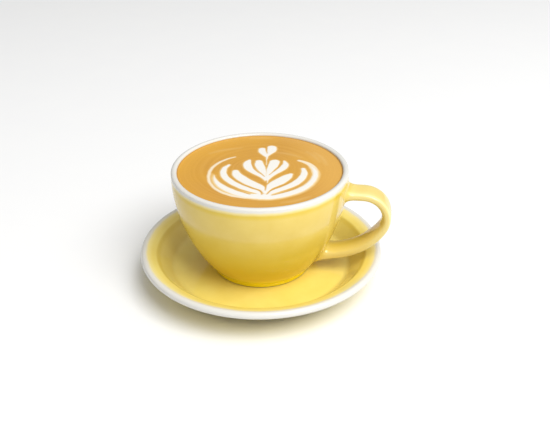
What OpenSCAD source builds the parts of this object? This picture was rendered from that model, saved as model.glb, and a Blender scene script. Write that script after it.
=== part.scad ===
// Flat wide coffee cup with a strap handle, standing on its saucer and filled with latte.
// Millimetres. The origin is on the axis, in the plane of the saucer's foot. Z is up, and the handle points along +X.

/* [Cup] */
// Outer diameter of the cup at its rim
cup_d = 109; // [90:1:130]
// Height of the cup from its foot to the top of the rim
cup_h = 68.2; // [58:0.2:85]
// Thickness of the wall and of the rounded lip
wall_t = 3.6; // [2.5:0.1:5]
// Thickness of clay between the recess under the cup and the drink
base_t = 4.6; // [3:0.2:8]
// Outer diameter of the foot ring
foot_d = 62.8; // [50:0.2:76]
// Height of the upright band of the foot
foot_h = 3; // [2:0.2:6]
// Width of the ring that the cup stands on
foot_w = 4.4; // [3:0.2:8]
// Depth of the recess inside the foot ring
foot_recess = 2.4; // [1:0.2:4]
// Height of the upright stretch below the centre of the lip
neck_h = 5; // [2:0.5:10]
// How far the belly runs out from the foot before it turns up
belly_pull = 15.6; // [10:0.2:22]
// Slope of the belly where it leaves the foot, in degrees
belly_slope = 41; // [30:1:55]
// How far the upright neck reaches down into the curve of the belly
side_pull = 19.4; // [12:0.2:26]

/* [Handle] */
// Width of the strap
strap_w = 16; // [10:0.5:20]
// Thickness of the strap
strap_t = 5.2; // [4:0.2:8]
// Squareness of the strap's section, from 2, an ellipse, to 5, nearly a rectangle
strap_square = 3.2; // [2:0.1:5]
// Height of the middle of the upper arm above the cup's foot
arm_z = 54.8; // [44:0.2:56]
// Reach of the straight upper arm beyond the rim's outside
arm_reach = 9.9; // [6:0.1:16]
// Radius of the upper bend at the strap's middle
bend_r = 15; // [12:0.5:17]
// Turn of the upper bend, in degrees
bend_turn = 120; // [110:1:130]
// Radius of the long lower bend at the strap's middle
sweep_r = 40; // [34:0.5:42]
// Fillet where the upper arm springs from the wall
root_fillet = 6; // [2:0.5:8]

/* [Latte] */
// Drop from the top of the rim to the surface of the drink
latte_drop = 1.4; // [0.6:0.1:12]

/* [Saucer] */
// Outer diameter of the saucer
saucer_d = 155; // [128:1:190]
// Height of the centre of the rounded edge above the table
edge_z = 20; // [17:0.5:26]
// Radius of the rounded edge
edge_r = 2.2; // [1.6:0.1:3]
// Height of the flat floor that the cup stands on
floor_z = 8.6; // [7:0.2:11]
// Width of the sloping wall between the floor and the crease, seen from above
wall_run = 10.5; // [8:0.5:14]
// Rounding where the floor turns up into the wall
floor_fillet = 6; // [2:0.5:10]
// Width of the flange, from the crease above the wall to the outside
flange_w = 10; // [6:0.5:14]
// Height of the crease above the wall, below the centre of the edge
crease_drop = 0.3; // [0:0.1:2]
// Rounding of the crease
crease_fillet = 4; // [1:0.5:8]
// Thickness of the saucer's body
body_t = 4.4; // [3:0.2:6]
// Distance from the middle of the foot ring out to the edge of the floor
ring_inset = 16; // [10:1:20]
// Width of the foot ring
ring_w = 5; // [3:0.5:8]

/* [Hidden] */
$fn = 96;

rim_r = cup_d / 2;
lip_r = wall_t / 2;
lip_c = [rim_r - lip_r, cup_h - lip_r];
neck_z = lip_c.y - neck_h;
foot_r = foot_d / 2;
// The band of the foot leans out a little, and the belly starts at its top
foot_lean = 0.5;
foot_round = 0.6;
belly_start = [foot_r + foot_lean, foot_h];
belly_out = belly_start + belly_pull * [cos(belly_slope), sin(belly_slope)];
bowl_z = foot_recess + base_t;
// Radius of the flat bottom inside the cup
bowl_flat = foot_r * 0.7;
latte_z = cup_h - latte_drop;
above = 5;

// The saucer's corners: floor, crease, and the same two on the underside
edge_c = [saucer_d / 2 - edge_r, edge_z];
crease = [saucer_d / 2 - flange_w, edge_z - crease_drop];
floor_corner = [crease.x - wall_run, floor_z];
wall_dir = unit(crease - floor_corner);
wall_down = [wall_dir.y, -wall_dir.x] * body_t;
under_z = floor_z - body_t;
// The crease of the underside lies a little inside the wall's own offset, so the flange stays as thick
under_shift = 0.6;
under_corner = [floor_corner.x + wall_down.x + (under_z - floor_corner.y - wall_down.y)
                * wall_dir.x / wall_dir.y, under_z];
under_crease = crease + wall_down - [under_shift, under_shift];
ring_in = floor_corner.x - ring_inset - ring_w / 2;
ring_out = ring_in + ring_w;
ring_draft = 0.8;
ring_round = 1.2;

function unit(v) = v / norm(v);

// A cubic Bezier curve from a to d, without its first point
function bezier(a, b, c, d, n = 18) =
    [for (i = [1:n]) let (t = i / n, s = 1 - t)
        s * s * s * a + 3 * s * s * t * b + 3 * s * t * t * c + t * t * t * d];

// An arc about c from one angle to another
function arc(c, r, from, to, n = 8) =
    [for (i = [0:n]) let (a = from + (to - from) * i / n) c + r * [cos(a), sin(a)]];

// The corner p between its neighbours a and b, rounded to the radius r
function corner(a, p, b, r, n = 6) =
    let (u = unit(a - p), v = unit(b - p), half = acos(u * v) / 2,
         c = p + unit(u + v) * r / sin(half),
         start = p + u * r / tan(half) - c,
         sweep = (180 - 2 * half) * sign(cross(v, u)))
    arc(c, r, atan2(start.y, start.x), atan2(start.y, start.x) + sweep, n);

// Angle on the circle about c where a line from p touches it, on the side given by turn
function touch(p, c, r, turn) =
    let (d = p - c) atan2(d.y, d.x) + turn * acos(r / norm(d));

module cup_outer_section() {
    polygon(concat(
        [[0, foot_recess], [foot_r - foot_w - foot_round, foot_recess]],
        corner([foot_r - foot_w, foot_recess], [foot_r - foot_w, 0], [foot_r, 0], foot_round, 3),
        corner([foot_r - foot_w, 0], [foot_r, 0], belly_start, foot_round, 3),
        [belly_start],
        bezier(belly_start, belly_out, [rim_r, neck_z - side_pull], [rim_r, neck_z]),
        arc(lip_c, lip_r, 0, 90),
        [[0, cup_h]]
    ));
}

// The hollow of the cup, open above the lip
module bowl_section() {
    polygon(concat(
        [[0, bowl_z], [bowl_flat, bowl_z]],
        bezier([bowl_flat, bowl_z], [belly_out.x - 2 * wall_t, bowl_z],
               [rim_r - wall_t, neck_z - side_pull], [rim_r - wall_t, neck_z]),
        arc(lip_c, lip_r, 180, 90),
        [[lip_c.x, cup_h + above], [0, cup_h + above]]
    ));
}

// The strap's cross-section, thickness along X: a squared ellipse, so its faces are a little crowned
module strap_section() {
    sides = 24;
    power = 2 / strap_square;
    polygon([for (i = [0:sides - 1]) let (a = 360 * (i + 0.5) / sides, c = cos(a), s = sin(a))
        [sign(c) * pow(abs(c), power) * strap_t / 2, sign(s) * pow(abs(s), power) * strap_w / 2]]);
}

// A bend of the strap about the point c, in the plane of the handle
module strap_bend(c, r, from, turn) {
    translate([c.x, 0, c.y]) rotate([90, 0, 0]) rotate([0, 0, from])
        rotate_extrude(angle = turn) translate([r, 0]) strap_section();
}

// A straight length of the strap along +X, its middle starting at p
module strap_straight(p, length) {
    translate([p.x, 0, p.y]) rotate([0, 90, 0]) linear_extrude(length) strap_section();
}

// Concave fillet under the upper arm, against the wall
module strap_root(p) {
    sink = 1.5;
    r = root_fillet;
    translate([p.x, 0, p.y]) rotate([90, 0, 0])
        linear_extrude(strap_w - strap_t, center = true) difference() {
            translate([-sink, -r]) square([r + sink, r + sink]);
            translate([r, -r]) circle(r);
        }
}

module handle() {
    arm_start = rim_r - 2 * wall_t;
    bend_c = [rim_r + arm_reach, arm_z - bend_r];
    bend_end = 90 - bend_turn;
    sweep_c = bend_c + (bend_r - sweep_r) * [cos(bend_end), sin(bend_end)];
    sweep_turn = 180 - bend_turn;
    low_z = sweep_c.y - sweep_r;
    low_end = foot_r;
    strap_straight([arm_start, arm_z], bend_c.x - arm_start);
    strap_bend(bend_c, bend_r, bend_end, bend_turn);
    strap_bend(sweep_c, sweep_r, -90, sweep_turn);
    strap_straight([low_end, low_z], sweep_c.x - low_end);
    strap_root([rim_r, arm_z - strap_t / 2]);
}

// One fired piece: the thrown bowl and the handle that is joined on
module cup() {
    color("#e6c95c") translate([0, 0, floor_z]) difference() {
        union() {
            rotate_extrude() cup_outer_section();
            handle();
        }
        rotate_extrude() bowl_section();
    }
}

// The drink fills the bowl up to its level
module latte() {
    color("#e0a856") translate([0, 0, floor_z]) rotate_extrude() intersection() {
        bowl_section();
        square([rim_r, latte_z]);
    }
}

module saucer() {
    top_touch = touch(crease, edge_c, edge_r, -1);
    low_touch = touch(under_crease, edge_c, edge_r, 1) - 360;
    edge_top = edge_c + edge_r * [cos(top_touch), sin(top_touch)];
    edge_low = edge_c + edge_r * [cos(low_touch), sin(low_touch)];
    color("#e9cf66") rotate_extrude() polygon(concat(
        [[0, floor_z]],
        corner([0, floor_z], floor_corner, crease, floor_fillet),
        corner(floor_corner, crease, edge_top, crease_fillet),
        arc(edge_c, edge_r, top_touch, low_touch, 16),
        corner(edge_low, under_crease, under_corner, crease_fillet),
        corner(under_crease, under_corner, [ring_out, under_z], floor_fillet),
        [[ring_out + ring_draft, under_z]],
        corner([ring_out + ring_draft, under_z], [ring_out, 0], [ring_in, 0], ring_round, 4),
        corner([ring_out, 0], [ring_in, 0], [ring_in - ring_draft, under_z], ring_round, 4),
        [[ring_in - ring_draft, under_z], [0, under_z]]
    ));
}

cup();
saucer();
latte();
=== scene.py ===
# %% [markdown]
# # A latte in a wide stoneware cup, on its saucer
# The object is three pieces: a glazed cup with a strap handle, a glazed saucer, and the drink with a leaf
# poured in milk foam. A potter turns the cup and the saucer, so both are a section that goes once round an
# axis. The handle is a pulled strap that is joined on. The drink is only as good as its surface, so most
# of the work there goes into the leaf.
#
# This cell loads the measured model, which gives each piece its size and its place.

# %% Load the measured frame
import math

import bmesh
import bpy
import numpy as np
from mathutils import Matrix, Vector


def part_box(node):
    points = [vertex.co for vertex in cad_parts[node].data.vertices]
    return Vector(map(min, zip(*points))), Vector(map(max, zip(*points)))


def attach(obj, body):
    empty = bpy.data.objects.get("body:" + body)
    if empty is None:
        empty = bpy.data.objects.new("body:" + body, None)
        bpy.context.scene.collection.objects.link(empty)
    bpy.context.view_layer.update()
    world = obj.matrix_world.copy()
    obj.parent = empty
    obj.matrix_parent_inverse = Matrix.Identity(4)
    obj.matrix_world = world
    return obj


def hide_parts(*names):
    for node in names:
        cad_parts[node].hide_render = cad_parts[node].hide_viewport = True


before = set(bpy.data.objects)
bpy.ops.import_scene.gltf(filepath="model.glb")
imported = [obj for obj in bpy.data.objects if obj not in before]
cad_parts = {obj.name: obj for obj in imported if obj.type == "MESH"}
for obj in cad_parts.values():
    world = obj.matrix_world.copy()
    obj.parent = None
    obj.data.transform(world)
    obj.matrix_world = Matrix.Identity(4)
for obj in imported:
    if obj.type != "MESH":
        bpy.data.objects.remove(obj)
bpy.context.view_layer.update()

MM = 0.001
cup_low, cup_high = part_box("cup")
_, saucer_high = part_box("saucer")
_, latte_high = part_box("latte")
# heights and radii in millimetres; the handle is on +X, so the rim's radius is read on the other side
FLOOR_Z = cup_low.z / MM
RIM_TOP = cup_high.z / MM
LEVEL = latte_high.z / MM
RIM_R = -cup_low.x / MM
SAUCER_R = saucer_high.x / MM
print(f"cup {RIM_R * 2:.1f} mm wide, its rim at {RIM_TOP:.1f} and the drink at {LEVEL:.1f}")
print(f"saucer {SAUCER_R * 2:.1f} mm wide")

# %% [markdown]
# ## Drawing and turning
# Both pots are drawn as half a section and turned on the axis. By hand, a plane is added, merged to one
# point, and that point is extruded along the section, click by click. Spin then carries the line once
# round the axis. Where the turn ends, its last line lies on its first, so doubles are merged, and then
# the normals are recalculated so that every face looks outwards.
# A curve object with a screw modifier would do the same, but this way leaves one clean mesh.

# %% Helpers for drawing a line and turning it
def deselect_all():
    """Leaves edit mode and selects nothing."""
    if bpy.context.object and bpy.context.object.mode != "OBJECT":
        bpy.ops.object.mode_set(mode="OBJECT")
    bpy.ops.object.select_all(action="DESELECT")


def draw_line(name, points, closed=False):
    """A new piece in edit mode: a line through points given in millimetres."""
    deselect_all()
    points = [Vector(p) * MM for p in points]
    bpy.ops.mesh.primitive_plane_add(size=MM)
    piece = bpy.context.object
    piece.name = name
    bpy.ops.object.mode_set(mode="EDIT")
    bpy.ops.mesh.select_all(action="SELECT")
    bpy.ops.mesh.merge(type="CENTER")
    bpy.ops.transform.translate(value=points[0])
    for before, after in zip(points, points[1:]):
        bpy.ops.mesh.extrude_vertices_move(TRANSFORM_OT_translate={"value": after - before})
    if closed:
        bpy.ops.mesh.select_all(action="DESELECT")
        line = bmesh.from_edit_mesh(piece.data)
        line.verts.ensure_lookup_table()
        line.verts[0].select = line.verts[len(line.verts) - 1].select = True
        bmesh.update_edit_mesh(piece.data)
        bpy.ops.mesh.edge_face_add()
    bpy.ops.mesh.select_all(action="SELECT")
    return piece


def close_up(piece):
    """Merges doubles, turns the faces outwards and shades the piece smooth."""
    bpy.ops.mesh.select_all(action="SELECT")
    bpy.ops.mesh.remove_doubles(threshold=0.002 * MM)
    bpy.ops.mesh.normals_make_consistent(inside=False)
    bpy.ops.object.mode_set(mode="OBJECT")
    bpy.ops.object.shade_smooth()
    print(f"{piece.name}: {len(piece.data.vertices)} points, {len(piece.data.polygons)} faces")
    return piece


def turn(name, section, steps):
    """The half-section, as (radius, height) points, turned once round the Z axis."""
    piece = draw_line(name, [(r, 0, z) for r, z in section])
    bpy.ops.mesh.spin(steps=steps, angle=math.tau, center=(0, 0, 0), axis=(0, 0, 1))
    return close_up(piece)


def bezier(a, b, c, d, n=24):
    """Points on a cubic curve from a to d, without the first."""
    t = np.linspace(0, 1, n + 1)[1:, None]
    a, b, c, d = (np.array(p, float) for p in (a, b, c, d))
    curve = (1 - t) ** 3 * a + 3 * (1 - t) ** 2 * t * b + 3 * (1 - t) * t**2 * c + t**3 * d
    return [tuple(p) for p in curve]


def arc(center, radius, start, end, n=10):
    """Points on an arc, with angles in degrees."""
    angles = np.radians(np.linspace(start, end, n + 1))
    return [(center[0] + radius * math.cos(a), center[1] + radius * math.sin(a)) for a in angles]


def rounded(before, corner, after, radius, n=8):
    """The corner of a section, rounded to a radius."""
    before, corner, after = (np.array(p, float) for p in (before, corner, after))
    u = (before - corner) / np.linalg.norm(before - corner)
    v = (after - corner) / np.linalg.norm(after - corner)
    half = math.acos(float(u @ v)) / 2
    center = corner + (u + v) / np.linalg.norm(u + v) * radius / math.sin(half)
    start = corner + u * radius / math.tan(half) - center
    sweep = (180 - 2 * math.degrees(half)) * (1 if v[0] * u[1] - v[1] * u[0] > 0 else -1)
    first = math.degrees(math.atan2(start[1], start[0]))
    return arc(center, radius, first, first + sweep, n)


# %% [markdown]
# ## The saucer
# The saucer has a flat floor for the cup, a sloping wall, a flange that lifts a little to its rounded
# edge, and a foot ring underneath. A glaze is a coat of glass and it never keeps a sharp corner, so every
# corner of the section is rounded before it is turned.

# %% Turn the saucer
EDGE_R, EDGE_Z = 2.2, 20.0  # radius of the rounded edge, and the height of its centre
CREASE_Z = 19.7
FLANGE_W, WALL_RUN = 10.0, 10.5  # widths of the flange and of the sloping wall, seen from above
BODY = 4.4  # thickness of the clay
UNDER_SHIFT = 0.6  # the crease underneath lies this much inside, so the flange stays as thick
FLOOR_FILLET, CREASE_FILLET = 6, 4
RING_IN, RING_OUT = 38.5, 43.5
RING_DRAFT, RING_FILLET, RING_ROUND = 0.8, 0.8, 1.2  # lean of the foot ring's sides, and its roundings
FLOOR_RINGS = (20, 35)  # radii of extra points on the flat floor, which keep its faces short

EDGE = (SAUCER_R - EDGE_R, EDGE_Z)
CREASE = (SAUCER_R - FLANGE_W, CREASE_Z)
SAUCER_CORNER = (CREASE[0] - WALL_RUN, FLOOR_Z)
slope = np.subtract(CREASE, SAUCER_CORNER) / np.linalg.norm(np.subtract(CREASE, SAUCER_CORNER))
through_wall = BODY * np.array([slope[1], -slope[0]])
UNDER_Z = FLOOR_Z - BODY
under_wall = np.array(SAUCER_CORNER) + through_wall
UNDER_CORNER = (under_wall[0] + (UNDER_Z - under_wall[1]) * slope[0] / slope[1], UNDER_Z)
UNDER_CREASE = tuple(np.array(CREASE) + through_wall - UNDER_SHIFT)


def tangent_angle(point, center, radius, side):
    """Where a line from a point touches a circle, in degrees round that circle."""
    away = np.subtract(point, center)
    return math.degrees(math.atan2(away[1], away[0]) + side * math.acos(radius / np.linalg.norm(away)))


top_angle = tangent_angle(CREASE, EDGE, EDGE_R, -1)
low_angle = tangent_angle(UNDER_CREASE, EDGE, EDGE_R, 1) - 360
edge = arc(EDGE, EDGE_R, top_angle, low_angle, 20)
ring_top_out, ring_top_in = (RING_OUT + RING_DRAFT, UNDER_Z), (RING_IN - RING_DRAFT, UNDER_Z)
saucer_section = [
    (0, FLOOR_Z),
    *[(r, FLOOR_Z) for r in FLOOR_RINGS],
    *rounded((0, FLOOR_Z), SAUCER_CORNER, CREASE, FLOOR_FILLET, 10),
    *rounded(SAUCER_CORNER, CREASE, edge[0], CREASE_FILLET, 10),
    *edge,
    *rounded(edge[-1], UNDER_CREASE, UNDER_CORNER, CREASE_FILLET),
    *rounded(UNDER_CREASE, UNDER_CORNER, (RING_OUT, UNDER_Z), FLOOR_FILLET),
    *rounded(UNDER_CORNER, ring_top_out, (RING_OUT, 0), RING_FILLET, 4),
    *rounded(ring_top_out, (RING_OUT, 0), (RING_IN, 0), RING_ROUND, 6),
    *rounded((RING_OUT, 0), (RING_IN, 0), ring_top_in, RING_ROUND, 6),
    *rounded((RING_IN, 0), ring_top_in, (0, UNDER_Z), RING_FILLET, 4),
    (FLOOR_RINGS[0], UNDER_Z),
    (0, UNDER_Z),
]
saucer = turn("stoneware_saucer", saucer_section, 256)

# %% [markdown]
# ## The bowl of the cup
# The bowl starts at a foot ring, runs out in a low belly and turns up into an upright neck with a rounded
# lip. Its inside follows a curve of its own, so the wall is thick at the foot and thin at the lip, as on
# a turned pot. Both sides are one closed section, and it is turned as one shell with real thickness.

# %% Turn the bowl
WALL = 3.6
LIP_R, LIP_H = WALL / 2, 1.2  # the lip's top is half an ellipse: its half width and its height
NECK_H = 5  # height of the upright neck, up to the centre that a fully round lip would have
SIDE_PULL = 19.4  # how far down the neck's upright direction pulls the belly's curve
NECK_Z = RIM_TOP - LIP_R - NECK_H
FOOT_R, FOOT_W, FOOT_H, FOOT_LEAN = 31.4, 4.4, 3, 0.5
RECESS_Z = FLOOR_Z + 2.4  # ceiling of the recess inside the foot ring
RECESS_ROUND, FOOT_ROUND, BELLY_ROUND = 0.6, 0.8, 0.3
BOWL_Z, BOWL_FLAT = FLOOR_Z + 7, 22.0  # height and radius of the flat bottom inside

LIP = (RIM_R - LIP_R, RIM_TOP - LIP_H)
FOOT_TOP = (FOOT_R + FOOT_LEAN, FLOOR_Z + FOOT_H)
RECESS_R = FOOT_R - FOOT_W
# the belly leaves the foot at 41 degrees, and this point pulls its curve 15.6 mm that way
BELLY = (FOOT_TOP[0] + 11.77, FOOT_TOP[1] + 10.23)
SIDE = (RIM_R, NECK_Z - SIDE_PULL)

inside_neck, inside_side = (RIM_R - WALL, NECK_Z), (RIM_R - WALL, SIDE[1])
belly_line = [FOOT_TOP, *bezier(FOOT_TOP, BELLY, SIDE, (RIM_R, NECK_Z), 40)]
bowl_line = bezier(inside_neck, inside_side, (BELLY[0] - 2 * WALL, BOWL_Z), (BOWL_FLAT, BOWL_Z), 30)
bowl_section = [
    (0, RECESS_Z),
    *rounded((0, RECESS_Z), (RECESS_R, RECESS_Z), (RECESS_R, FLOOR_Z), RECESS_ROUND, 4),
    *rounded((RECESS_R, RECESS_Z), (RECESS_R, FLOOR_Z), (FOOT_R, FLOOR_Z), FOOT_ROUND, 4),
    *rounded((RECESS_R, FLOOR_Z), (FOOT_R, FLOOR_Z), FOOT_TOP, FOOT_ROUND, 4),
    *rounded((FOOT_R, FLOOR_Z), FOOT_TOP, belly_line[1], BELLY_ROUND, 3),
    *belly_line[2:],
    *[(LIP[0] + LIP_R * c, LIP[1] + LIP_H * s) for c, s in arc((0, 0), 1, 0, 180, 16)],
    inside_neck,
    *bowl_line,
    (0, BOWL_Z),
]
cup = turn("stoneware_cup", bowl_section, 256)

# %% [markdown]
# ## The handle
# The handle is a flat strap with soft edges. It leaves the neck level, bends down through a tight third
# of a turn, and sweeps back in a long curve to the foot. Its section is drawn once, as a squared ellipse,
# and Spin carries it round the centre of each bend, which is how a strap is bent over a former.

# %% Draw the strap's section and bend it
STRAP_W, STRAP_T = 16.0, 5.2
CROWN = 0.7  # how much further the inner side swells than the flat outer side
SQUARE_OUT, SQUARE_IN = 4.0, 2.4  # squareness of the two sides: 2 would be an ellipse
SWELL = 0.6  # extra thickness of the inner side in the long bend, in millimetres
ARM_Z, ARM_REACH = FLOOR_Z + 54.8, 9.9  # height of the upper arm, and its reach beyond the rim
BEND_R, SWEEP_R = 15, 40  # radii of the tight bend and of the long one, at the strap's middle
BEND_TURN, SWEEP_TURN = 120, 60  # their turns, in degrees
SHORT_OF_WALL = 10  # degrees of the long bend left out, where the flare takes over
SIDES = 48

bend_end = BEND_TURN - 90  # degrees that the tight bend ends below the level of its centre
BEND = (RIM_R + ARM_REACH, ARM_Z - BEND_R)
SWEEP = (
    BEND[0] - (SWEEP_R - BEND_R) * math.cos(math.radians(bend_end)),
    BEND[1] + (SWEEP_R - BEND_R) * math.sin(math.radians(bend_end)),
)

ring = []
for i in range(SIDES):
    a = math.tau * (i + 0.5) / SIDES
    c, s = math.cos(a), math.sin(a)
    squareness, thickness = (SQUARE_OUT, STRAP_T / 2) if s > 0 else (SQUARE_IN, STRAP_T / 2 + CROWN)
    across = math.copysign(abs(c) ** (2 / squareness), c) * STRAP_W / 2
    thick = math.copysign(abs(s) ** (2 / squareness), s) * thickness
    ring.append((BEND[0] - 0.01, across, ARM_Z + thick))
handle = draw_line("stoneware_handle", ring, closed=True)
first_ring = np.array(ring)

for center, turn_by, steps in ((BEND, BEND_TURN, 28), (SWEEP, SWEEP_TURN - SHORT_OF_WALL, 20)):
    middle = (center[0] * MM, 0, center[1] * MM)
    bpy.ops.mesh.spin(steps=steps, angle=math.radians(turn_by), center=middle, axis=(0, -1, 0))
strap_mesh = bmesh.from_edit_mesh(handle.data)
for v in strap_mesh.verts:
    x, z = v.co.x / MM - SWEEP[0], v.co.z / MM - SWEEP[1]
    inside = SWEEP_R - math.hypot(x, z)
    if inside > 0 and v.co.z / MM < BEND[1] and x > 0:
        # it grows over 12 mm down from the tight bend's centre, and over 1.5 mm from the strap's middle
        strength = min(1, (BEND[1] - v.co.z / MM) / 12) * min(1, inside / 1.5)
        v.co.x -= SWELL * strength * x / (SWEEP_R - inside) * MM
        v.co.z -= SWELL * strength * z / (SWEEP_R - inside) * MM
last_ring = np.array([v.co[:] for v in strap_mesh.verts if v.select]) / MM
print("the last ring's middle:", last_ring.mean(axis=0).round(1), "points:", len(last_ring))

# %% [markdown]
# ### The two joints
# A potter wets the joint and smooths clay into it, so each end flares out onto the wall. Each point of
# the end ring runs along a small curve: first on along the strap, then out over the wall.

# %% Flare both ends onto the wall
FLARE = 4.0  # how far the clay is smoothed out over the wall
FLARE_STEPS = (0.16, 0.32, 0.48, 0.62, 0.75, 0.86, 0.95)


def wall_radius(z):
    """Radius of the cup's outside at a height."""
    line = np.array(belly_line)
    return np.interp(z, line[:, 1], line[:, 0])


def meet_wall(points, direction):
    """Each point moved along a direction until it lies on the wall."""
    low, high = np.zeros(len(points)), np.full(len(points), 30.0)
    for _ in range(40):
        middle = (low + high) / 2
        there = points + middle[:, None] * direction
        outside = np.hypot(there[:, 0], there[:, 1]) > wall_radius(there[:, 2])
        low, high = np.where(outside, middle, low), np.where(outside, high, middle)
    return points + low[:, None] * direction


def wall_normal(points):
    """Outward direction of the wall at points that lie on it."""
    lean = (wall_radius(points[:, 2] + 0.5) - wall_radius(points[:, 2] - 0.5))
    out = np.column_stack([points[:, 0], points[:, 1], -lean * np.hypot(points[:, 0], points[:, 1])])
    return out / np.linalg.norm(out, axis=1)[:, None]


joint_line = []


def flare(start, direction):
    """Rings from the strap's end ring out over the wall, and one more just inside it."""
    corner = meet_wall(start, direction)
    joint_line.extend(corner)
    normal = wall_normal(corner)
    outwards = corner - corner.mean(axis=0)
    outwards /= np.array([1, STRAP_W / 2, STRAP_T / 2])
    outwards -= (outwards * normal).sum(axis=1)[:, None] * normal
    outwards /= np.linalg.norm(outwards, axis=1)[:, None]
    # each point steps off the wall, out along it, and falls back on it
    landed = meet_wall(corner + FLARE * outwards + 6 * normal, -normal)
    rings = []
    for t in FLARE_STEPS:
        rings.append((1 - t) ** 2 * start + 2 * t * (1 - t) * corner + t * t * landed)
    # the flare's edge is lifted by 0.05 mm, and the last ring lies 0.6 mm inside the wall
    rings[-1] = rings[-1] + 0.05 * normal
    rings.append(landed - 0.6 * normal)
    return rings


def add_rings(end_ring, rings):
    """Extrudes the strap's open end that lies on a ring of points through more such rings."""
    mesh = bmesh.from_edit_mesh(handle.data)
    bpy.ops.mesh.select_all(action="DESELECT")
    is_upper = end_ring[0, 2] > BEND[1]
    for e in (e for e in mesh.edges if e.is_boundary):
        if (e.verts[0].co.z / MM > BEND[1]) == is_upper:
            e.select_set(True)
    bmesh.update_edit_mesh(handle.data)
    # which point of the ring each selected vertex lies on; a new vertex takes over its neighbour's
    index = {}
    for v in (v for v in mesh.verts if v.select):
        index[v] = int(np.argmin(((end_ring - np.array(v.co) / MM) ** 2).sum(axis=1)))
    for points in rings:
        bpy.ops.mesh.extrude_region_move()
        mesh = bmesh.from_edit_mesh(handle.data)
        fresh = {}
        for v in (v for v in mesh.verts if v.select):
            old = next(e.other_vert(v) for e in v.link_edges if not e.other_vert(v).select)
            fresh[v] = index[old]
        for v, k in fresh.items():
            v.co = Vector(points[k]) * MM
        index = fresh
        bmesh.update_edit_mesh(handle.data)
    bpy.ops.mesh.edge_face_add()


# the upper arm runs straight for 4.4 mm from the bend, and its flare goes on from there
upper_start = first_ring - np.array([4.4, 0, 0])
upper_way = np.array([-1.0, 0, 0])
lower_way = np.array([-math.cos(math.radians(SHORT_OF_WALL)), 0, -math.sin(math.radians(SHORT_OF_WALL))])
add_rings(first_ring, [upper_start, *flare(upper_start, upper_way)])
add_rings(last_ring, flare(last_ring, lower_way))
close_up(handle)

# %% [markdown]
# ### One fired piece
# A Boolean union joins the strap to the bowl and clears away what lies inside the wall. Points that it
# leaves almost on top of each other are merged. Then the edges are counted, because each edge of a
# closed shell lies between exactly two faces.

# %% Join the handle to the bowl
deselect_all()
bpy.context.view_layer.objects.active = cup
cup.select_set(True)
union = cup.modifiers.new("join_handle", "BOOLEAN")
union.operation = "UNION"
union.solver = "EXACT"
union.object = handle
bpy.ops.object.modifier_apply(modifier=union.name)
bpy.data.objects.remove(handle)
bpy.ops.object.mode_set(mode="EDIT")
bpy.ops.mesh.select_all(action="SELECT")
bpy.ops.mesh.remove_doubles(threshold=0.02 * MM)
bpy.ops.object.mode_set(mode="OBJECT")
bpy.ops.object.shade_smooth()
edge_uses = {}
for polygon in cup.data.polygons:
    for key in polygon.edge_keys:
        edge_uses[key] = edge_uses.get(key, 0) + 1
faults = sum(uses != 2 for uses in edge_uses.values())
print(f"cup: {len(cup.data.polygons)} faces, open or shared edges: {faults}")

# %% [markdown]
# ### Marks for the glaze
# The glaze will need to know where the joints are and where the strap's edges run. Each point of the cup
# gets two values, by its distance from lines that the drawing of the handle gives. The pale marks along
# the strap's edges are thin glaze and also painted highlight.

# %% Mark where the glaze pools and where it runs thin, with painted highlight on the strap
cup_points = np.array([v.co[:] for v in cup.data.vertices]) / MM
handle_side = cup_points[:, 0] > 30


def nearness(line, reach):
    """For every point of the cup: 1 on a line of points, falling to 0 this many millimetres from it."""
    value = np.zeros(len(cup_points), np.float32)
    gaps = np.linalg.norm(cup_points[handle_side][:, None] - np.array(line)[None], axis=2).min(axis=1)
    value[handle_side] = np.clip(1 - gaps / reach, 0, 1)
    return value


# the two outer edges of the strap: along the arm, round the tight bend and down the long one
CORNER_UP, CORNER_OUT = STRAP_T / 2 - 0.1, STRAP_W / 2 - 0.9
strap_line = [(x, ARM_Z + CORNER_UP) for x in np.linspace(RIM_R, BEND[0], 12)]
strap_line += arc(BEND, BEND_R + CORNER_UP, 90, -bend_end, 40)
strap_line += arc(SWEEP, SWEEP_R + CORNER_UP, -bend_end, -90, 50)
edge_line = [(x, side * CORNER_OUT, z) for x, z in strap_line for side in (-1, 1)]
joint = 0.9 * nearness(joint_line, 3.2)
# a narrow pale line on each edge, and a weaker one that spreads over the strap: thin glaze and painted
# highlight
narrow = 0.65 * np.minimum(1, 1.6 * nearness(edge_line, 2.2))
strap_edge_and_highlight = np.maximum(narrow, 0.4 * nearness(edge_line, 11))
for name, values in (("joint", joint), ("strap_edge_and_highlight", (1 - joint) * strap_edge_and_highlight)):
    cup.data.attributes.new(name, "FLOAT", "POINT").data.foreach_set("value", values)
by_joint, by_edge = int((joint > 0).sum()), int((strap_edge_and_highlight > 0).sum())
print(f"{by_joint} points by the joints and {by_edge} by the strap's edges")

# %% [markdown]
# ## The drink
# A latte is espresso with steamed milk, and a skin of foam lies on it. The leaf is poured: each rock of
# the jug lays a band of white foam, and the last stroke draws a line of brown through their middle.
# The surface is a disc turned from one long line, fine enough to carry the leaf as an attribute on its
# points. Each band is a chain of rounded strokes: a point's foam value says how far inside one it lies.
# The attribute then mixes crema and foam in the material, and lifts the foam by a tenth of a millimetre.
# A painted image could do this too, but the attribute needs no file and its edges stay true.

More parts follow.
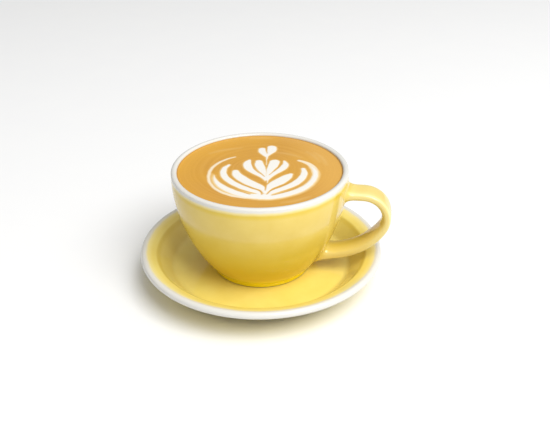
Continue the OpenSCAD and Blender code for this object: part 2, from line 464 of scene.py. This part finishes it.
# %% Turn the drink
CONTACT_R = RIM_R - WALL
REACH = 0.3  # how far the drink's body runs into the wall, so that no gap shows
CLIMB_W, CLIMB_H = 1.6, 0.3  # the drink clings to the wall and climbs it a little
FINE_R = 41  # the leaf lies inside this radius, so the points are closer together there
FLAT_Z = LEVEL - CLIMB_H
flat_r = CONTACT_R - CLIMB_W
surface_r = np.concatenate([np.linspace(0, FINE_R, 122), np.linspace(FINE_R + 0.5, flat_r, 14)])
surface_line = [(r, FLAT_Z) for r in surface_r]
climb = [(flat_r + CLIMB_W * t, FLAT_Z + CLIMB_H * t**3) for t in (0.25, 0.45, 0.6, 0.75, 0.88, 1.0)]
below = [(r + REACH, z) for r, z in bowl_line[::3] if z < FLAT_Z - 1]
drink_section = [
    *surface_line,
    *climb,
    (CONTACT_R + REACH, LEVEL - 0.02),
    (CONTACT_R + REACH, NECK_Z),
    *below,
    (BOWL_FLAT, BOWL_Z - REACH),
    (0, BOWL_Z - REACH),
]
drink = turn("latte_drink", drink_section, 480)

# %% The bands of the leaf
# Each stroke is a chain of (across, along, half width) in millimetres: across runs to the right of
# whoever drinks with the handle at their right hand, and along runs away from them, up the leaf.
leaf_bands = [
    [(1.6, 29.5, 2.3), (1.8, 25.5, 2.4), (3.4, 20.5, 1.4), (4.5, 16.5, 0.5), (4.4, 12, 0.35)],
    [(8, 31.8, 3.1), (7.6, 27.5, 3.3), (5.9, 22.5, 1.8), (4.7, 18, 0.7), (4.5, 13, 0.4)],
    [(4.4, 18, 0.45), (4.3, 12, 0.4), (4.2, 6, 0.4)],
    [(-0.6, 11, 2.2), (-0.2, 5.5, 3.0), (1.2, -0.5, 2.6), (3, -6.5, 1.6), (4, -12, 0.8)],
    [(9.3, 10.2, 3.2), (8.2, 5, 3.2), (6.3, -1, 2.3), (4.8, -8, 1.5), (4.2, -14, 0.7)],
    [(-6.3, 12.8, 1.4), (-7.6, 9, 2.6), (-7.2, 3.5, 2.9), (-4.6, -2, 2.5), (-0.5, -7.5, 1.9),
     (2.6, -12.5, 1.4), (4, -18, 0.4)],
    [(15.4, 11.2, 0.8), (16, 7, 1.8), (15.4, 4, 2.3), (13.3, 0, 2.4), (9.5, -4.8, 2.0),
     (6.3, -9.5, 1.7), (4.6, -14.5, 0.8), (4.1, -18.5, 0.3)],
    [(-15, -2.2, 1.9), (-14, -7, 2.9), (-10.5, -13, 3.3), (-6, -18.5, 3.2), (-1.5, -22.8, 2.9),
     (1.8, -27, 2.0), (2.8, -31.5, 1.2)],
    [(18.8, -7.6, 1.2), (16, -11.5, 3.0), (12, -16.5, 3.7), (8, -20.8, 3.3), (5.2, -25, 2.0),
     (4, -30, 0.9)],
    [(-19.2, 6.8, 1.0), (-21.8, 2, 1.7), (-22.3, -5, 2.1), (-20, -12, 2.4), (-15.5, -18.5, 2.5),
     (-9.5, -24.5, 2.4), (-3.5, -29, 2.0), (0, -32, 1.4)],
    [(26.6, -0.4, 1.3), (27, -6, 2.0), (24.8, -13.5, 2.4), (20.5, -20, 2.5), (15, -25, 2.3),
     (9.5, -28.8, 2.1), (4.5, -32.5, 1.6)],
    [(-7, -33.8, 1.4), (0, -34, 1.8), (7, -34.3, 1.0)],
]
outer_bands = [
    [(31.6, 3.5, 0.6), (33, -1, 1.5), (33.7, -7, 2.0), (32.2, -14.5, 2.2), (28.6, -22, 2.4),
     (23, -28.5, 2.7), (15.5, -33.2, 3.0), (7, -36.3, 3.1), (0, -36.5, 3.0)],
    [(-27.6, -7.5, 0.6), (-27.3, -12, 1.2), (-25.2, -18, 2.0), (-21, -24.3, 2.6), (-15, -30, 2.9),
     (-8, -34, 3.1), (0, -36.3, 3.0)],
]
faint_bands = [
    [(24.5, 11.6, 1.0), (28, 9.2, 1.4), (31, 5.5, 1.7), (33, 0.5, 2.0), (33.8, -5, 2.0)],
    [(-15.5, 18.4, 0.5), (-20.5, 15.5, 0.8), (-26, 9.8, 0.95), (-29.8, 2, 1.0), (-31, -6, 1.0),
     (-30.6, -14, 0.9), (-28.2, -21.5, 0.9), (-24, -28, 1.0), (-17, -33.6, 1.2), (-10, -36.3, 1.2),
     (-3, -37.8, 1.0)],
]
glow_bands = [
    [(-29.2, -6, 1.2), (-28.8, -14, 1.8), (-26, -22, 2.0), (-21, -29, 2.0), (-14, -34, 2.0)],
]
streaks = [
    [(30, 25, 0.4), (34.5, 18, 0.9), (37.5, 9, 0.5)],
    [(35, 23.5, 0.4), (39.5, 15, 1.0), (41.5, 5, 0.5)],
    [(12, -43.5, 0.5), (20, -41.5, 1.3), (28, -37, 0.6)],
    [(-6, 47, 0.6), (2, 47.6, 1.1), (8, 46.6, 0.5)],
    [(-32, 24, 0.5), (-24, 29, 1.2), (-12, 32, 0.6)],
    [(8, 25, 0.4), (18, 22, 1.2), (26, 16, 0.5)],
]
brown_lines = [
    [(-5, 14.5, 0.7), (-4.7, 8, 0.6), (-3.8, 2, 0.5), (-1.8, -3, 0.4), (0.8, -6.8, 0.3),
     (2.5, -10, 0.25)],
    [(14.2, 13.5, 0.6), (13.4, 8.5, 0.6), (11.8, 3, 0.5), (9.5, -1.5, 0.4), (7.2, -5, 0.3),
     (5.6, -8, 0.25)],
    [(-19, -4, 1.0), (-18.2, -9, 0.9), (-14.5, -15.5, 0.7), (-9.8, -20.8, 0.6), (-5, -25, 0.6),
     (-1, -27.6, 0.55), (0.4, -30, 0.5), (0.8, -33, 0.45)],
    [(-26.8, -3, 1.0), (-25.8, -10, 0.9), (-22.5, -17.5, 0.7), (-17.5, -23.5, 0.65),
     (-12, -28.5, 0.6), (-8, -31.3, 0.55), (-6, -32.5, 0.5)],
    [(23, -8, 1.3), (20.5, -13.5, 0.9), (17, -18.8, 0.75), (12.5, -22.8, 0.7), (8.5, -26, 0.6),
     (6, -28.7, 0.5), (4.4, -31.5, 0.45), (3.6, -33, 0.4)],
    [(30, -2, 1.0), (30.3, -9, 0.9), (28.2, -16, 0.8), (24.5, -22, 0.7), (19.5, -27, 0.6),
     (14, -30.8, 0.5), (9, -33.3, 0.45), (6.5, -34.2, 0.4)],
    [(3.6, -16, 0.5), (3.2, -20, 0.45), (3, -25, 0.4), (2.9, -28, 0.3)],
    [(4.5, 33.5, 0.7), (4.5, 30, 0.5), (4.7, 26, 0.3), (4.8, 23, 0.15)],
    [(3.3, 14, 0.5), (3.3, 9, 0.3), (3.5, 4, 0.15)],
    [(5.3, 14, 0.6), (5.0, 9, 0.4), (4.6, 4, 0.2)],
]
golden_lines = [
    [(-29, -5, 0.5), (-29, -12, 0.5), (-27.4, -19.5, 0.5), (-23.5, -26.5, 0.5), (-18, -31.5, 0.5)],
    [(4.3, 12, 0.3), (4.0, 4, 0.35), (3.8, -3, 0.3), (3.7, -9, 0.2)],
]
print(len(leaf_bands) + len(outer_bands), "bands of foam and", len(brown_lines), "lines of crema")

# %% [markdown]
# ### From strokes to foam
# Each chain is smoothed, and each point of the surface is asked how far inside a stroke it lies. The
# leaf's own bands get a crisp edge, the outer and the faint ones a softer edge, and the lines of crema
# are cut out of them last.

# %% Lay the leaf on the surface
def smooth_chain(chain, parts=6):
    """The chain with points added along a smooth curve through its own."""
    c = np.array(chain, float)
    ends = np.vstack([2 * c[0] - c[1], c, 2 * c[-1] - c[-2]])
    t = np.linspace(0, 1, parts, endpoint=False)[:, None]
    out = []
    for a, b, d, e in zip(ends, ends[1:], ends[2:], ends[3:]):
        bow, twist = 2 * a - 5 * b + 4 * d - e, 3 * b - a - 3 * d + e
        out.append(0.5 * (2 * b + (d - a) * t + bow * t**2 + twist * t**3))
    return np.vstack([*out, c[-1:]])


def depth_in(points, chain):
    """How far each point lies inside a stroke, in millimetres; negative outside."""
    best = np.full(len(points), -99.0)
    for (ax, ay, ar), (bx, by, br) in zip(chain, chain[1:]):
        step = np.array([bx - ax, by - ay])
        t = np.clip(((points - (ax, ay)) @ step) / (step @ step), 0, 1)
        gap = np.linalg.norm(points - np.array([ax, ay]) - t[:, None] * step, axis=1)
        best = np.maximum(best, ar + (br - ar) * t - gap)
    return best


def soft(depth, blur):
    """0 outside, 1 inside, with a soft edge this many millimetres wide."""
    t = np.clip(depth / blur + 0.5, 0, 1)
    return t * t * (3 - 2 * t)


def union_depth(points, chains):
    """How far each point lies inside the nearest of several strokes."""
    return np.max([depth_in(points, smooth_chain(c)) for c in chains], axis=0)


LEAF_TURN = math.radians(10)  # the leaf is turned this much anticlockwise, seen from above
FOAM_H = 0.1  # how far the foam stands above the crema
count = len(drink.data.vertices)
co = np.empty(count * 3)
drink.data.vertices.foreach_get("co", co)
co = co.reshape(-1, 3)
on_top = co[:, 2] > (FLAT_Z - 0.01) * MM
x, y = co[on_top, 0] / MM, co[on_top, 1] / MM
across = x * math.cos(LEAF_TURN) + y * math.sin(LEAF_TURN)
along = -x * math.sin(LEAF_TURN) + y * math.cos(LEAF_TURN)
# the edge of a poured band is never quite even
wander = 0.08
places = np.column_stack([
    across + wander * np.sin(0.9 * along + 0.5 * across) * np.sin(0.35 * across),
    along + wander * np.sin(0.8 * across - 0.4 * along + 1.0),
])
leaf_depth = union_depth(places, leaf_bands)
outer_depth = union_depth(places, outer_bands)
leaf = soft(leaf_depth - 0.2, 0.65)
outer = soft(outer_depth - 0.5, 1.5)
faint = soft(union_depth(places, faint_bands) - 0.1, 1.4)
glow = soft(union_depth(places, glow_bands), 3.0)
brown = soft(union_depth(places, brown_lines) + 0.1, 0.8)
golden = soft(union_depth(places, golden_lines), 1.0)
streak = soft(union_depth(places, streaks), 3.0)
foam = np.maximum(np.maximum(leaf, outer), 0.55 * faint)
foam = foam * (1 - 0.95 * brown) * (1 - 0.45 * golden)
cream = np.maximum(soft(np.maximum(leaf_depth + 0.3, outer_depth + 0.9), 2.0) * 0.7, 0.9 * faint)
cream = np.maximum(np.maximum(cream, 0.35 * glow), 0.18 * streak)
cream = cream * (1 - 0.75 * brown)


def set_attribute(name, values):
    """Stores a value for each point of the surface, and 0 for the rest of the drink."""
    field = np.zeros(count, np.float32)
    field[on_top] = values
    attribute = drink.data.attributes.new(name, "FLOAT", "POINT")
    attribute.data.foreach_set("value", field)


set_attribute("foam", foam)
set_attribute("cream", cream)
co[on_top, 2] += FOAM_H * MM * foam
drink.data.vertices.foreach_set("co", co.ravel())
drink.data.update()
print(f"foam covers {foam.mean() * 100:.0f}% of the surface's points")

# %% [markdown]
# ## Materials
# Every material starts from the real finish. Colours are written as sRGB hex values, the way a paint
# chart gives them, and one function turns them to the linear values that Blender mixes. One more small
# function adds a node with its inputs and settings, so each material reads as a short list of nodes.
# An input is a number, a colour or the output of an earlier node, and it is named or counted as the node
# shows it from the top: a Mix node takes its factor as 0 and its two colours as 6 and 7. A Map Range node
# takes its value as 0, the range it comes from as 1 and 2, and the range it goes to as 3 and 4, which is
# 0 to 1 unless it says otherwise. A Math node adds unless it names another operation.

# %% Helpers for materials
def linear(hex_colour):
    """sRGB hex to linear RGBA."""
    parts = [int(hex_colour[i : i + 2], 16) / 255 for i in (1, 3, 5)]
    return (*[c / 12.92 if c <= 0.04045 else ((c + 0.055) / 1.055) ** 2.4 for c in parts], 1.0)


def add(tree, kind, inputs, output=0, **settings):
    """Adds a node with its settings and inputs, and returns one of its outputs."""
    node = tree.nodes.new("ShaderNode" + kind)
    for key, value in settings.items():
        setattr(node, key, value)
    for key, value in inputs.items():
        if isinstance(value, bpy.types.NodeSocket):
            tree.links.new(value, node.inputs[key])
        else:
            node.inputs[key].default_value = linear(value) if isinstance(value, str) else value
    return node.outputs[output]


def new_material(name):
    """A material, its nodes and its one shader."""
    material = bpy.data.materials.new(name)
    material.use_nodes = True
    return material, material.node_tree, material.node_tree.nodes["Principled BSDF"]


def from_axis(tree, position):
    """A point's distance from the turning axis and its height, both in millimetres."""
    flat = add(tree, "VectorMath", {0: position, 1: (1000, 1000, 0)}, operation="MULTIPLY")
    radius = add(tree, "VectorMath", {0: flat}, "Value", operation="LENGTH")
    height = add(tree, "SeparateXYZ", {0: position}, "Z")
    height = add(tree, "Math", {0: height, 1: 1000.0}, operation="MULTIPLY")
    return radius, height


SMOOTH = {"interpolation_type": "SMOOTHSTEP"}
COLOUR = {"data_type": "RGBA", "output": 2}

# %% [markdown]
# ## Glazed stoneware
# The pots are white stoneware under a yellow glaze: a coat of coloured glass half a millimetre thick.
# Glass gives a sharp reflection over a clear, strong colour. The glaze runs thin on a lip and along the
# edges of the strap, so the clay shows pale there; the pale strap edges and saucer flange are also painted
# highlight and sheen. It pools in a crease or above a foot, so the colour is deeper there; the deeper
# yellow low on the cup and the ring by the saucer's crease are also painted shade, and so is a deeper
# band under the cup's lip. The cup's yellows are darker than the saucer's, as painted shade on its
# upright wall, and the bare clay is darkened as painted contact shade. Wiping the glaze off a turning pot
# leaves a white band, so the band is painted by height on the cup and by radius on the saucer. Four masks
# of 0 to 1 say where the glaze is thin, wiped white, pooled and missing, and carry the painted sheen and
# shade with them; both pots share everything else.

# %% Yellow glaze for the cup and the saucer
# the pale colour of thin glaze also paints sheen on the flange and highlight on the strap
THIN_GLAZE_AND_SHEEN, DEEP_YELLOW, BEAD_YELLOW = "#f0e5b0", "#d8b800", "#f6de00"
# the bare clay is darkened as painted contact shade at the foot
WHITE_GLAZE, BARE_CLAY_AND_SHADE, IRON_SPECK = "#dad8d1", "#8a744a", "#b98a12"
# the cup's yellows are darker than the saucer's: painted shade on its upright wall
SHADED_CUP_YELLOWS, SAUCER_YELLOWS = ("#dcc05c", "#e1c768"), ("#ecd56a", "#f0dc76")


def glazed_stoneware(name, shades, masks):
    """A yellow glaze with a white lip. The masks are made from the radius and the height."""
    material, tree, shader = new_material(name)
    position = add(tree, "TexCoord", {}, "Object")
    # the wiped edge wavers by a few tenths of a millimetre
    waver = add(tree, "TexNoise", {"Vector": position, "Scale": 120.0}, "Fac")
    waver = add(tree, "MapRange", {0: waver, 3: -0.5, 4: 0.5})
    radius, height = from_axis(tree, position)
    thin_and_sheen, white, pool_and_shade, bare_and_shade = masks(tree, radius, height, waver)
    # cloudiness of a dipped glaze: soft patches about 12 mm across
    cloud = add(tree, "TexNoise", {"Vector": position, "Scale": 80.0, "Detail": 3.0}, "Fac")
    cloud = add(tree, "MapRange", {0: cloud, 1: 0.3, 2: 0.7})
    colour = add(tree, "Mix", {0: cloud, 6: shades[0], 7: shades[1]}, **COLOUR)
    # fine iron specks under the glaze, 0.3 mm wide and faint
    specks = add(tree, "TexNoise", {"Vector": position, "Scale": 1800.0, "Detail": 1.0}, "Fac")
    specks = add(tree, "MapRange", {0: specks, 1: 0.72, 2: 0.8, 4: 0.12})
    colour = add(tree, "Mix", {0: specks, 6: colour, 7: IRON_SPECK}, **COLOUR)
    # the run-down glaze ends in a thick bright bead just above the foot
    bead = add(tree, "MapRange", {0: height, 1: FLOOR_Z + 10, 2: FLOOR_Z + 4}, **SMOOTH)
    deep = add(tree, "Mix", {0: bead, 6: DEEP_YELLOW, 7: BEAD_YELLOW}, **COLOUR)
    # deeper yellow where the glaze pools, which is also painted shade
    colour = add(tree, "Mix", {0: pool_and_shade, 6: colour, 7: deep}, **COLOUR)
    # pale thin glaze, which is also painted sheen and highlight
    colour = add(tree, "Mix", {0: thin_and_sheen, 6: colour, 7: THIN_GLAZE_AND_SHEEN}, **COLOUR)
    colour = add(tree, "Mix", {0: white, 6: colour, 7: WHITE_GLAZE}, **COLOUR)
    # the bare foot, whose darkened clay is painted contact shade
    colour = add(tree, "Mix", {0: bare_and_shade, 6: colour, 7: BARE_CLAY_AND_SHADE}, **COLOUR)
    tree.links.new(colour, shader.inputs["Base Color"])
    # glass is smooth, and the clay on the foot is as dull as a flower pot
    tree.links.new(add(tree, "MapRange", {0: bare_and_shade, 3: 0.09, 4: 0.75}), shader.inputs["Roughness"])
    shader.inputs["IOR"].default_value = 1.52
    # glaze settles in slow waves of about 15 mm and carries a faint orange peel of 1 mm
    wave = add(tree, "TexNoise", {"Vector": position, "Scale": 65.0, "Detail": 1.0}, "Fac")
    peel = add(tree, "TexNoise", {"Vector": position, "Scale": 900.0, "Detail": 1.0}, "Fac")
    bump = add(tree, "Bump", {"Height": wave, "Strength": 0.12, "Distance": 0.0006})
    bump = add(tree, "Bump", {"Height": peel, "Strength": 0.05, "Distance": 0.0001, "Normal": bump})
    tree.links.new(bump, shader.inputs["Normal"])
    return material


def cup_masks(tree, radius, height, waver):
    """Where the cup's glaze is thin, wiped white, pooled and missing, with painted highlight on the
    strap, painted shade under the lip and low on the cup, and painted contact shade at the foot.
    """
    wavy = add(tree, "Math", {0: height, 1: waver})
    white = add(tree, "MapRange", {0: wavy, 1: RIM_TOP - 3.5, 2: RIM_TOP - 2.0}, **SMOOTH)
    # a cream line where the white band begins, and pale edges along the strap: thin glaze and painted
    # highlight
    cream = add(tree, "MapRange", {0: wavy, 1: RIM_TOP - 5.0, 2: RIM_TOP - 3.2, 4: 0.6}, **SMOOTH)
    strap = add(tree, "Attribute", {}, "Fac", attribute_name="strap_edge_and_highlight")
    thin_and_sheen = add(tree, "Math", {0: cream, 1: strap}, operation="MAXIMUM")
    # the glaze pools towards the foot and in the corner round the handle; the deeper yellow low on the
    # cup is also painted shade, and the band under the lip is painted shade
    low = add(tree, "MapRange", {0: height, 1: FLOOR_Z + 10, 2: FLOOR_Z + 51, 3: 1.0, 4: 0.0}, **SMOOTH)
    # but it drains off the strap, which keeps the lighter yellow all the way down; the lighter strap
    # is also painted light
    off_strap = add(tree, "MapRange", {0: strap, 2: 0.3, 3: 1.0, 4: 0.15})
    low = add(tree, "Math", {0: low, 1: off_strap}, operation="MULTIPLY")
    # painted shade: a deeper band under the white lip
    shade_under_lip = add(tree, "MapRange", {0: height, 1: RIM_TOP - 8, 2: RIM_TOP - 5.2, 4: 0.5}, **SMOOTH)
    joint = add(tree, "Attribute", {}, "Fac", attribute_name="joint")
    pool_and_shade = add(tree, "Math", {0: low, 1: shade_under_lip}, operation="MAXIMUM")
    pool_and_shade = add(tree, "Math", {0: pool_and_shade, 1: joint}, operation="MAXIMUM")
    # the bare foot ring, with its clay darkened as painted contact shade
    bare_and_shade = add(tree, "Math", {0: height, 1: FLOOR_Z + 0.5}, operation="LESS_THAN")
    return thin_and_sheen, white, pool_and_shade, bare_and_shade


def saucer_masks(tree, radius, height, waver):
    """Where the saucer's glaze is thin, wiped white, pooled and missing, with painted sheen on the
    flange, painted shade in the ring by the crease, and painted contact shade on the foot ring.
    """
    wavy = add(tree, "Math", {0: radius, 1: waver})
    white = add(tree, "MapRange", {0: wavy, 1: SAUCER_R - 4.8, 2: SAUCER_R - 2.8}, **SMOOTH)
    # the glaze thins out over the flange, and lies thinner underneath; the pale flange is also painted
    # sheen
    flange = add(tree, "MapRange", {0: wavy, 1: CREASE[0] + 2.0, 2: SAUCER_R - 3.8, 4: 0.5}, **SMOOTH)
    facing = add(tree, "SeparateXYZ", {0: add(tree, "NewGeometry", {}, "Normal")}, "Z")
    under = add(tree, "MapRange", {0: facing, 1: -0.1, 2: -0.4, 4: 0.25})
    thin_and_sheen = add(tree, "Math", {0: flange, 1: under}, operation="MAXIMUM")
    # it pools in a ring just inside the crease, and the ring is also painted crease shade
    crease = CREASE[0]
    rise = add(tree, "MapRange", {0: radius, 1: crease - 3.4, 2: crease - 1.2, 4: 0.3}, **SMOOTH)
    fall = add(tree, "MapRange", {0: radius, 1: crease - 0.6, 2: crease + 0.8, 3: 1.0, 4: 0.0}, **SMOOTH)
    pool_and_shade = add(tree, "Math", {0: rise, 1: fall}, operation="MULTIPLY")
    # the bare foot ring, with its clay darkened as painted contact shade
    bare_and_shade = add(tree, "Math", {0: height, 1: 0.5}, operation="LESS_THAN")
    return thin_and_sheen, white, pool_and_shade, bare_and_shade


for piece, shades, masks in (
    (cup, SHADED_CUP_YELLOWS, cup_masks),
    (saucer, SAUCER_YELLOWS, saucer_masks),
):
    glaze = glazed_stoneware("glazed_" + piece.name, shades, masks)
    piece.data.materials.clear()
    piece.data.materials.append(glaze)
    print(piece.name, "wears", glaze.name)

# %% [markdown]
# ## Milk foam and crema
# Crema is a brown foam of coffee oils, and milk foam is white. Both are wet and finely bubbled, so they
# shine softly, with a roughness near a half and the index of refraction of water. Crema swirls with the
# pour, so its colour follows bands round the middle of the cup, broken by noise. A darker thin line where
# it touches the wall is painted shade.

# %% Foam and crema for the drink
CREMA, LIGHT_CREMA, GOLDEN_CREMA = "#c7923c", "#cf9b46", "#d6a036"
# the darker brown at the wall is painted shade
BUBBLE_BROWN, CONTACT_SHADE_BROWN = "#b07b36", "#845529"
CREAM, MILK_FOAM = "#eed396", "#e6e3dc"

material, tree, shader = new_material("milk_foam_and_crema")
position = add(tree, "TexCoord", {}, "Object")
radius, height = from_axis(tree, position)
foam_value = add(tree, "Attribute", {}, "Fac", attribute_name="foam")
cream_value = add(tree, "Attribute", {}, "Fac", attribute_name="cream")
# swirl: noise stretched round the cup, its bands about 3 mm wide
drift = add(tree, "TexNoise", {"Vector": position, "Scale": 25.0}, "Fac")
drift = add(tree, "Math", {0: drift, 1: 5.0}, operation="MULTIPLY")
rings = add(tree, "Math", {0: radius, 1: drift})
bands = add(tree, "TexNoise", {"W": rings, "Scale": 0.4}, "Fac", noise_dimensions="1D")
bands = add(tree, "MapRange", {0: bands, 1: 0.35, 2: 0.65})
crema = add(tree, "Mix", {0: bands, 6: CREMA, 7: LIGHT_CREMA}, **COLOUR)
# where the first milk sank, the crema is more golden in patches; it is also more golden on the far left
# and on the right
patches = add(tree, "TexNoise", {"Vector": position, "Scale": 38.0}, "Fac")
patches = add(tree, "MapRange", {0: patches, 1: 0.35, 2: 0.7, 4: 0.5})
crema = add(tree, "Mix", {0: patches, 6: crema, 7: GOLDEN_CREMA}, **COLOUR)
for side, near_mm, far_mm, most, golden_shade in (
    ((-0.8, 0.6, 0), 18, 50, 0.65, "#dea73a"),
    ((0.95, 0.3, 0), 15, 45, 0.6, "#dfae57"),
):
    way = add(tree, "VectorMath", {0: position, 1: side}, "Value", operation="DOT_PRODUCT")
    part = add(tree, "MapRange", {0: way, 1: near_mm * MM, 2: far_mm * MM, 4: most}, **SMOOTH)
    crema = add(tree, "Mix", {0: part, 6: crema, 7: golden_shade}, **COLOUR)
# bubbles of half a millimetre and less
bubbles = add(tree, "TexNoise", {"Vector": position, "Scale": 1600.0}, "Fac")
bubble_tint = add(tree, "MapRange", {0: bubbles, 1: 0.4, 2: 0.75, 4: 0.18})
crema = add(tree, "Mix", {0: bubble_tint, 6: crema, 7: BUBBLE_BROWN}, **COLOUR)
# painted shade: a darker line where the crema meets the wall
contact_shade = add(tree, "MapRange", {0: radius, 1: CONTACT_R - 0.9, 2: CONTACT_R - 0.3, 4: 0.4}, **SMOOTH)
crema = add(tree, "Mix", {0: contact_shade, 6: crema, 7: CONTACT_SHADE_BROWN}, **COLOUR)
crema = add(tree, "Mix", {0: cream_value, 6: crema, 7: CREAM}, **COLOUR)
colour = add(tree, "Mix", {0: foam_value, 6: crema, 7: MILK_FOAM}, **COLOUR)
tree.links.new(colour, shader.inputs["Base Color"])
tree.links.new(add(tree, "MapRange", {0: foam_value, 3: 0.32, 4: 0.5}), shader.inputs["Roughness"])
shader.inputs["IOR"].default_value = 1.34
bump = add(tree, "Bump", {"Height": bubbles, "Strength": 0.1, "Distance": 0.0001})
tree.links.new(bump, shader.inputs["Normal"])
drink.data.materials.clear()
drink.data.materials.append(material)
print(drink.name, "wears", material.name)

# %% [markdown]
# ## Which piece stands for which
# Each piece rides on the frame's one body and stands for the plain solid of the same thing, which is
# hidden.

# %% Ride and replace
for piece, node, slot in (
    (cup, "cup", "cup_glaze"),
    (saucer, "saucer", "saucer_glaze"),
    (drink, "latte", "latte"),
):
    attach(piece, "root")
    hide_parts(node)
    print(piece.name, "stands for", node)

# %% [markdown]
# ## Floor, light and camera
# A flat sheet of white paper carries the saucer. The room gives a pale light that is strongest overhead
# and weakest low on the left, which keeps the shadows open. One large soft lamp, high on the right and in
# front, models the cup and drops a soft shadow to the left. It is bright enough to wash the white paper
# out, so the yellow on top of the saucer turns to lemon.
# The camera looks down by thirty degrees through a normal lens, as someone does who is about to sit.

# %% Floor
deselect_all()
bpy.ops.mesh.primitive_plane_add(size=12)
paper = bpy.context.object
paper.name = "paper_floor"
floor_material, tree, shader = new_material("matt_white_paper")
# the sizing of the paper is a little uneven, in clouds of some 40 mm
grain = add(tree, "TexNoise", {"Vector": add(tree, "TexCoord", {}, "Object"), "Scale": 25.0}, "Fac")
paper_white = add(tree, "Mix", {0: grain, 6: "#eeeeee", 7: "#f0f0ef"}, **COLOUR)
tree.links.new(paper_white, shader.inputs["Base Color"])
shader.inputs["Roughness"].default_value = 0.9
shader.inputs["Specular IOR Level"].default_value = 0.2
paper.data.materials.append(floor_material)
print("floor laid")

# %% Light
scene = bpy.context.scene
scene.view_settings.view_transform = "Standard"
world = bpy.data.worlds.new("even_studio")
world.use_nodes = True
scene.world = world
tree = world.node_tree
background = tree.nodes["Background"]
background.inputs["Color"].default_value = (1, 1, 1, 1)
way = add(tree, "TexCoord", {}, "Generated")
across_way = add(tree, "SeparateXYZ", {0: way}, "X")
up_way = add(tree, "SeparateXYZ", {0: way}, "Z")
depth_way = add(tree, "SeparateXYZ", {0: way}, "Y")
# the ceiling's light, which is weaker on the left, and a little more from the right and the front
overhead = add(tree, "MapRange", {0: up_way, 1: 0.2, 2: 0.95, 4: 0.55}, **SMOOTH)
overhead_side = add(tree, "MapRange", {0: across_way, 1: -0.8, 2: 0.6, 3: 0.55, 4: 1.1})
overhead = add(tree, "Math", {0: overhead, 1: overhead_side}, operation="MULTIPLY")
rightwards = add(tree, "MapRange", {0: across_way, 1: -0.9, 2: 0.9, 4: 0.40})
frontwards = add(tree, "MapRange", {0: depth_way, 1: -0.1, 2: -0.95, 4: 0.3})
strength = add(tree, "Math", {0: add(tree, "Math", {0: overhead, 1: rightwards}), 1: frontwards})
tree.links.new(strength, background.inputs["Strength"])

# places and sizes in metres, the lamp's energy in watts
lamp_place = Vector((1.0, -0.78, 1.82))
bpy.ops.object.light_add(type="AREA", location=lamp_place)
lamp = bpy.context.object
lamp.name = "key_softbox"
lamp.data.shape = "SQUARE"
lamp.data.size = 1.45
lamp.data.energy = 46
lamp.rotation_euler = (Vector((0, 0, 0.04)) - lamp_place).to_track_quat("-Z", "Y").to_euler()
print("lit by the room and by", lamp.name)

# %% Camera
camera_data = bpy.data.cameras.new("camera")
camera = bpy.data.objects.new("camera", camera_data)
scene.collection.objects.link(camera)
camera_data.lens = 49.49
camera_data.sensor_width = 36
camera_data.clip_start = 0.01
eye = Vector((0.0728, -0.41285, 0.27883))
aim_at = Vector((0.00895, 0.00138, 0.03727))
facing = (aim_at - eye).to_track_quat("-Z", "Y").to_matrix()
tilt = Matrix.Rotation(math.radians(-0.364), 3, "Z")  # it leans to one side by a third of a degree
camera.matrix_world = Matrix.Translation(eye) @ (facing @ tilt).to_4x4()
scene.camera = camera
print("camera set")

# %% [markdown]
# ## Finish
# Nothing is left selected at the end.

# %% Finish
deselect_all()
